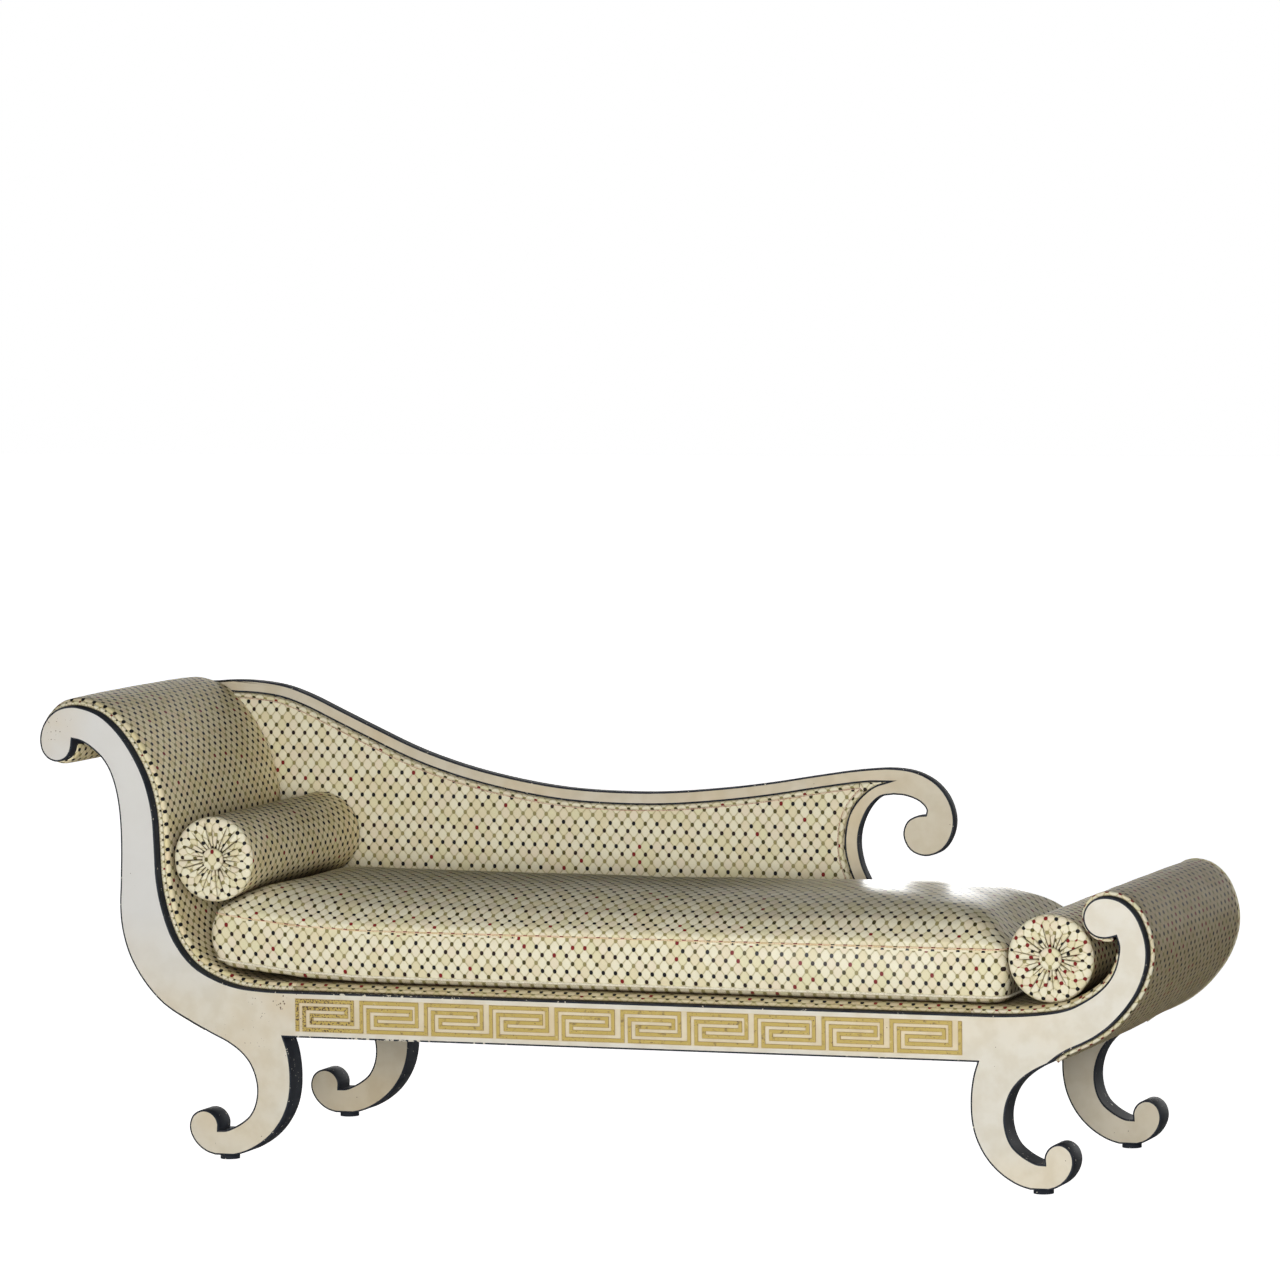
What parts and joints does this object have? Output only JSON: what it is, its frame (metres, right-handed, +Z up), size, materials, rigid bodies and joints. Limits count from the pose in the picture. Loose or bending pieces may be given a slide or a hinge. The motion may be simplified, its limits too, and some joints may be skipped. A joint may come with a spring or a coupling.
{
  "type": "recamier",
  "caption": "Painted scroll-end daybed with scroll legs, a low swept back rail, upholstered ends, a loose box cushion and loose bolsters.",
  "frame": {"origin": "on the floor under the middle of the whole piece", "axes": "+X from the head end to the foot end, +Y from the open front to the back, +Z up"},
  "size_m": [2.1188, 0.6234, 0.8392],
  "materials": {
    "ivory_paint": "satin aged paint with dark edges",
    "gold_paint": "satin gilt paint",
    "dark_paint": "satin paint",
    "lattice_fabric": "woven lattice with dots",
    "bare_wood": "sawn",
    "screw_steel": "plain",
    "jute_webbing": "woven",
    "dust_cloth": "woven"
  },
  "bodies": {
    "frame": {"front_head_scroll": "ivory_paint", "front_seat_rail": "ivory_paint", "front_foot_scroll": "ivory_paint", "front_head_leg": "ivory_paint", "front_foot_leg": "ivory_paint", "rear_head_scroll": "ivory_paint", "rear_seat_rail": "ivory_paint", "rear_foot_scroll": "ivory_paint", "rear_head_leg": "ivory_paint", "rear_foot_leg": "ivory_paint", "back_crest_rail": "ivory_paint", "back_stile": "ivory_paint", "back_core": "bare_wood", "back_pad": "lattice_fabric", "back_outside_pad": "lattice_fabric", "head_pad": "lattice_fabric", "head_outside_pad": "lattice_fabric", "foot_pad": "lattice_fabric", "foot_outside_pad": "lattice_fabric", "seat_deck": "lattice_fabric", "seat_cross_rails": "bare_wood", "seat_battens": "bare_wood", "head_scroll_rails": "bare_wood", "foot_scroll_rails": "bare_wood", "corner_blocks": "bare_wood", "block_screws": "screw_steel", "frame_dowels": "bare_wood", "seat_webbing": "jute_webbing", "dust_cover": "dust_cloth", "glides": "dark_paint", "key_moulding": "gold_paint"},
    "cushion": {"seat_cushion": "lattice_fabric"},
    "head_roll": {"head_bolster": "lattice_fabric", "head_bolster_buttons": "lattice_fabric"},
    "foot_roll": {"foot_bolster": "lattice_fabric", "foot_bolster_buttons": "lattice_fabric"}
  },
  "joints": [
    {"name": "cushion_lift", "type": "slide", "parent": "frame", "child": "cushion", "axis": [0, 0, 1], "range_m": [0, 0.5]},
    {"name": "head_bolster_lift", "type": "slide", "parent": "cushion", "child": "head_roll", "axis": [0, 0, 1], "range_m": [0, 0.4]},
    {"name": "foot_bolster_draw", "type": "slide", "parent": "frame", "child": "foot_roll", "axis": [0, -1, 0], "range_m": [0, 0.7]}
  ]
}
